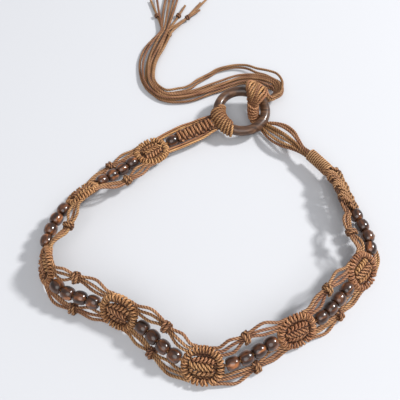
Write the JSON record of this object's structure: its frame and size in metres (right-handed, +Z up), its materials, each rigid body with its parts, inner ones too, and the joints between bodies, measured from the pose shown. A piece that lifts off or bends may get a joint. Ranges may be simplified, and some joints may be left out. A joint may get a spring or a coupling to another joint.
{
  "type": "macrame belt",
  "caption": "Macrame tie belt of twisted cord with knotted eye motifs, bead runs, a wooden ring and a cord tail, lying closed in a loop.",
  "frame": {"origin": "on the surface that the belt lies on, under the middle of its outer box", "axes": "+Z up from the surface; +Y from the front of the loop towards the ring and the tail; +X to the right seen from the front"},
  "size_m": [0.3106, 0.486, 0.037],
  "materials": {
    "cord": "twisted waxed cotton cord, camel brown",
    "wrap_cord": "close turns of the same cord, a little yellower",
    "bead_wood": "dark lacquered wood, glossy",
    "ring_wood": "walnut brown wood, satin varnish"
  },
  "bodies": {
    "root": {"ring": "ring_wood", "ring_hitches": "cord", "square_knot_sinnet": "cord", "bead_01": "bead_wood", "motif_1": "cord", "bead_02": "bead_wood", "bead_03": "bead_wood", "bead_04": "bead_wood", "bead_05": "bead_wood", "side_cords_1_inner": "cord", "side_cords_1_outer": "cord", "motif_2": "cord", "bead_06": "bead_wood", "bead_07": "bead_wood", "bead_08": "bead_wood", "bead_09": "bead_wood", "side_cords_2_inner": "cord", "side_cords_2_outer": "cord", "motif_3": "cord", "bead_10": "bead_wood", "bead_11": "bead_wood", "bead_12": "bead_wood", "bead_13": "bead_wood", "side_cords_3_inner": "cord", "side_cords_3_outer": "cord", "motif_4": "cord", "bead_14": "bead_wood", "bead_15": "bead_wood", "bead_16": "bead_wood", "bead_17": "bead_wood", "side_cords_4_inner": "cord", "side_cords_4_outer": "cord", "motif_5": "cord", "bead_18": "bead_wood", "bead_19": "bead_wood", "bead_20": "bead_wood", "bead_21": "bead_wood", "side_cords_5_inner": "cord", "side_cords_5_outer": "cord", "motif_6": "cord", "bead_22": "bead_wood", "bead_23": "bead_wood", "bead_24": "bead_wood", "bead_25": "bead_wood", "side_cords_6_inner": "cord", "side_cords_6_outer": "cord", "motif_7": "cord", "bead_26": "bead_wood", "bead_27": "bead_wood", "bead_28": "bead_wood", "bead_29": "bead_wood", "side_cords_7_inner": "cord", "side_cords_7_outer": "cord", "braid": "cord", "coil_wrap": "wrap_cord", "open_cords": "cord", "ring_knot": "cord", "tail_bend": "cord", "tail_fringe": "cord"}
  },
  "joints": []
}
